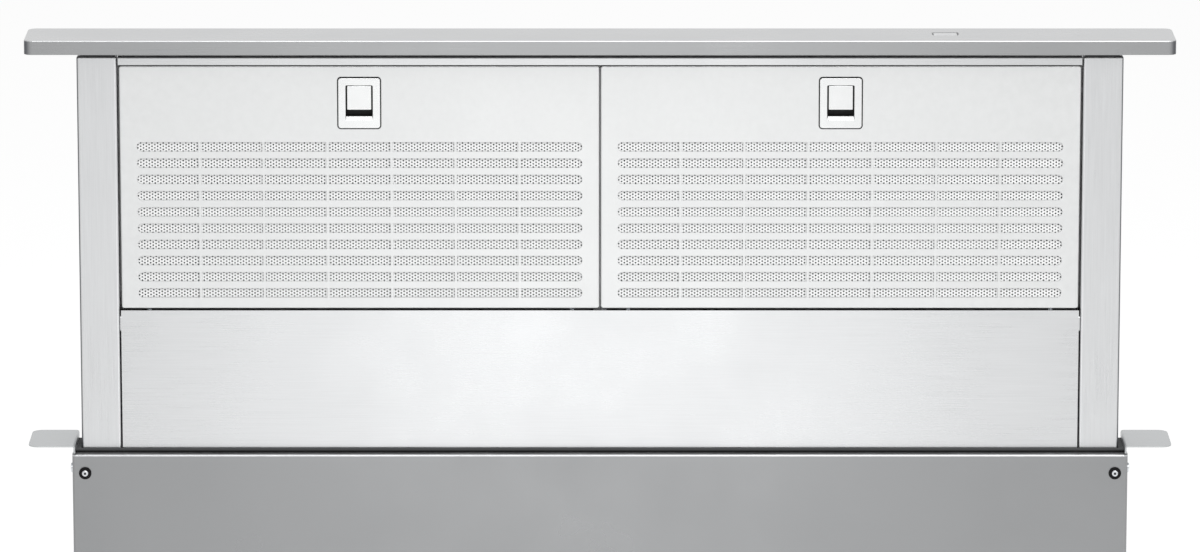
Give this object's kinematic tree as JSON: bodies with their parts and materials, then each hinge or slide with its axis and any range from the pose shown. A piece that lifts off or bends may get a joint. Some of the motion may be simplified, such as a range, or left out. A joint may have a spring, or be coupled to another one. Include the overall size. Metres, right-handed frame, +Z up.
{
  "type": "downdraft vent",
  "caption": "Retractable kitchen downdraft vent shown raised, with slotted filter panels under a slim cap, a worktop housing and a blower box with a round duct collar.",
  "frame": {"origin": "under the middle of the whole object's box, on the floor that the levelling feet stand on", "axes": "+X to the right seen from the front, +Y to the back, +Z up; the front with the filter panels faces -Y"},
  "size_m": [0.917, 0.2892, 1.121],
  "materials": {
    "cap_steel": "brushed along its length",
    "column_steel": "brushed upwards",
    "panel_steel": "fine satin",
    "perforated_steel": "perforated, mill finish",
    "latch_metal": "satin chrome on a die casting",
    "filter_aluminium": "mill finish",
    "housing_grey": "matt grey coating",
    "zinc_steel": "galvanised",
    "screw_steel": "bright plated",
    "dark_washer": "blackened",
    "seal_rubber": "matt black",
    "black_plastic": "moulded",
    "motor_black": "satin black",
    "bronze": "turned",
    "white_plastic": "moulded",
    "button_plastic": "metal-look lacquer"
  },
  "bodies": {
    "housing": {"housing_front": "housing_grey", "housing_back": "housing_grey", "left_counter_tab": "zinc_steel", "right_counter_tab": "zinc_steel", "mouth_seal": "seal_rubber", "guide_rails": "zinc_steel", "levelling_feet": "zinc_steel", "corner_washers": "dark_washer", "corner_screws": "screw_steel", "case_screws": "screw_steel", "blower_case": "zinc_steel", "blower_cover": "zinc_steel", "blower_scroll": "zinc_steel", "inlet_ring": "black_plastic", "fan_motor": "motor_black", "duct_collar": "zinc_steel", "damper_rod": "screw_steel", "control_box": "zinc_steel", "control_box_cover": "zinc_steel", "cable_gland": "black_plastic", "lift_motor": "motor_black", "lift_motor_bracket": "zinc_steel", "screw_bearings": "zinc_steel", "drive_belt": "black_plastic"},
    "riser": {"cap_shell": "cap_steel", "cap_frame": "motor_black", "switch_bezel": "button_plastic", "left_column": "column_steel", "right_column": "column_steel", "top_rail": "column_steel", "lower_front_panel": "column_steel", "riser_back": "column_steel", "centre_mullion": "column_steel", "hinge_brackets": "zinc_steel", "slide_pads": "white_plastic", "lift_nuts": "bronze"},
    "cap_button": {"switch_button": "button_plastic"},
    "left_filter_panel": {"left_panel_face": "panel_steel", "left_filter_sheet": "perforated_steel", "left_filter_frame": "filter_aluminium", "left_filter_media": "filter_aluminium", "left_pivot_rod": "screw_steel", "left_latch_bezel": "latch_metal"},
    "right_filter_panel": {"right_panel_face": "panel_steel", "right_filter_sheet": "perforated_steel", "right_filter_frame": "filter_aluminium", "right_filter_media": "filter_aluminium", "right_pivot_rod": "screw_steel", "right_latch_bezel": "latch_metal"},
    "left_latch": {"left_latch_slider": "latch_metal"},
    "right_latch": {"right_latch_slider": "latch_metal"},
    "left_screw": {"left_lead_screw": "screw_steel", "left_screw_pulley": "filter_aluminium"},
    "right_screw": {"right_lead_screw": "screw_steel", "right_screw_pulley": "filter_aluminium", "motor_coupler": "filter_aluminium"},
    "fan_rotor": {"impeller_wheel": "zinc_steel", "fan_shaft": "screw_steel"},
    "front_flap": {"damper_flap_front": "zinc_steel"},
    "rear_flap": {"damper_flap_rear": "zinc_steel"}
  },
  "joints": [
    {"name": "riser_slide", "type": "slide", "parent": "housing", "child": "riser", "axis": [0, 0, 1], "range_m": [-0.3176, 0]},
    {"name": "left_screw_turn", "type": "hinge", "parent": "housing", "child": "left_screw", "pos_m": [-0.4, 0.12111, 0.3935], "axis": [0, 0, 1], "range_deg": [-14293, 0]},
    {"name": "left_panel_tilt", "type": "hinge", "parent": "riser", "child": "left_filter_panel", "pos_m": [-0.19173, 0.11266, 0.9047], "axis": [1, 0, 0], "range_deg": [0, 45]},
    {"name": "left_latch_slide", "type": "slide", "parent": "left_filter_panel", "child": "left_latch", "axis": [0, 0, -1], "range_m": [0, 0.0044], "stiffness_N_per_m": 600, "springref_m": -0.002},
    {"name": "right_screw_turn", "type": "hinge", "parent": "housing", "child": "right_screw", "pos_m": [0.4, 0.12111, 0.3935], "axis": [0, 0, 1], "range_deg": [-14293, 0]},
    {"name": "right_panel_tilt", "type": "hinge", "parent": "riser", "child": "right_filter_panel", "pos_m": [0.19173, 0.11266, 0.9047], "axis": [1, 0, 0], "range_deg": [0, 45]},
    {"name": "right_latch_slide", "type": "slide", "parent": "right_filter_panel", "child": "right_latch", "axis": [0, 0, -1], "range_m": [0, 0.0044], "stiffness_N_per_m": 600, "springref_m": -0.002},
    {"name": "button_press", "type": "slide", "parent": "riser", "child": "cap_button", "axis": [0, 0, -1], "range_m": [0, 0.0015], "stiffness_N_per_m": 800, "springref_m": -0.001},
    {"name": "fan_spin", "type": "hinge", "parent": "housing", "child": "fan_rotor", "pos_m": [-0.03, -0.02694, 0.2361], "axis": [0, 1, 0], "continuous": true},
    {"name": "front_flap_swing", "type": "hinge", "parent": "housing", "child": "front_flap", "pos_m": [0.218, 0.00506, 0.1711], "axis": [0, 0, 1], "range_deg": [0, 75], "stiffness_Nm_per_rad": 0.02, "springref_deg": -11.46},
    {"name": "rear_flap_swing", "type": "hinge", "parent": "housing", "child": "rear_flap", "pos_m": [0.218, 0.00506, 0.1711], "axis": [0, 0, -1], "range_deg": [0, 75], "stiffness_Nm_per_rad": 0.02, "springref_deg": -11.46}
  ],
  "couplings": [
    {"joint": "left_screw_turn", "follows": "riser_slide", "rad_per_m": 785.4},
    {"joint": "right_screw_turn", "follows": "riser_slide", "rad_per_m": 785.4}
  ]
}
